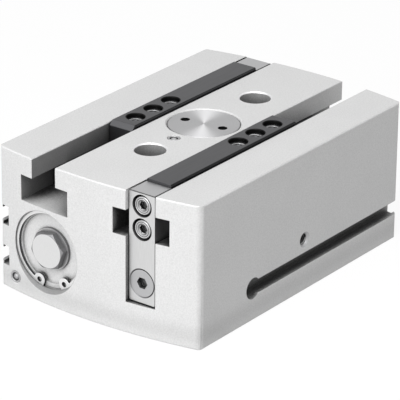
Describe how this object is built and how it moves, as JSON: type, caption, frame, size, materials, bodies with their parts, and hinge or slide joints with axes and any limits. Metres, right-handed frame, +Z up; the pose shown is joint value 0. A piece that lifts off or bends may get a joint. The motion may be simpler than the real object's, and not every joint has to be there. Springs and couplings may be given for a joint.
{
  "type": "pneumatic parallel gripper",
  "caption": "Long-stroke pneumatic gripper with twin opposed jaw slides in T-slots, synchronised by racks and a central pinion inside one aluminium housing.",
  "frame": {"origin": "centre of the housing's underside", "axes": "+X along the slides, towards the rear unit's driver bar; +Y across them, towards the rear unit; +Z up, out of the face that carries the slides"},
  "size_m": [0.1328, 0.09, 0.0555],
  "materials": {
    "housing_alloy": "fine blasted and clear anodised",
    "slide_steel": "hardened, black oxide",
    "bar_steel": "ground, nickel plated",
    "screw_steel": "zinc plated",
    "piston_alloy": "turned",
    "rod_steel": "hard chrome plated and ground",
    "seal_rubber": "moulded nitrile rubber",
    "magnet": "plastic bonded magnet",
    "bush_bronze": "sintered bronze",
    "cap_alloy": "turned, clear anodised",
    "circlip_steel": "stamped, zinc plated",
    "stop_steel": "turned, nickel plated",
    "gear_steel": "hobbed and ground",
    "cover_alloy": "face turned",
    "plug_steel": "pressed in"
  },
  "bodies": {
    "root": {"housing": "housing_alloy", "pinion_axle": "rod_steel", "pinion_cover": "cover_alloy", "top_duct_plug": "plug_steel", "end_duct_plugs": "plug_steel", "rear_rod_bush": "bush_bronze", "front_rod_bush": "bush_bronze", "rear_rod_seal": "seal_rubber", "front_rod_seal": "seal_rubber", "rear_end_cap": "cap_alloy", "front_end_cap": "cap_alloy", "rear_cap_o_ring": "seal_rubber", "front_cap_o_ring": "seal_rubber", "rear_circlip": "circlip_steel", "front_circlip": "circlip_steel", "rear_stop_screw": "stop_steel", "front_stop_screw": "stop_steel"},
    "rear_slide": {"rear_jaw_slide": "slide_steel", "rear_driver_bar": "bar_steel", "rear_jaw_screws": "screw_steel", "rear_rod_screw": "screw_steel", "rear_piston": "piston_alloy", "rear_piston_rod": "rod_steel", "rear_piston_seal": "seal_rubber", "rear_magnet_ring": "magnet"},
    "front_slide": {"front_jaw_slide": "slide_steel", "front_driver_bar": "bar_steel", "front_jaw_screws": "screw_steel", "front_rod_screw": "screw_steel", "front_piston": "piston_alloy", "front_piston_rod": "rod_steel", "front_piston_seal": "seal_rubber", "front_magnet_ring": "magnet"},
    "pinion_gear": {"pinion": "gear_steel", "pinion_bush": "bush_bronze"}
  },
  "joints": [
    {"name": "rear_slide_travel", "type": "slide", "parent": "root", "child": "rear_slide", "axis": [1, 0, 0], "range_m": [0, 0.04]},
    {"name": "front_slide_travel", "type": "slide", "parent": "root", "child": "front_slide", "axis": [-1, 0, 0], "range_m": [0, 0.04]},
    {"name": "pinion_turn", "type": "hinge", "parent": "root", "child": "pinion_gear", "pos_m": [0, 0, 0.042], "axis": [0, 0, 1], "range_deg": [-210, 0]}
  ],
  "couplings": [
    {"joint": "front_slide_travel", "follows": "rear_slide_travel", "ratio": 1},
    {"joint": "pinion_turn", "follows": "rear_slide_travel", "rad_per_m": -90.909}
  ]
}
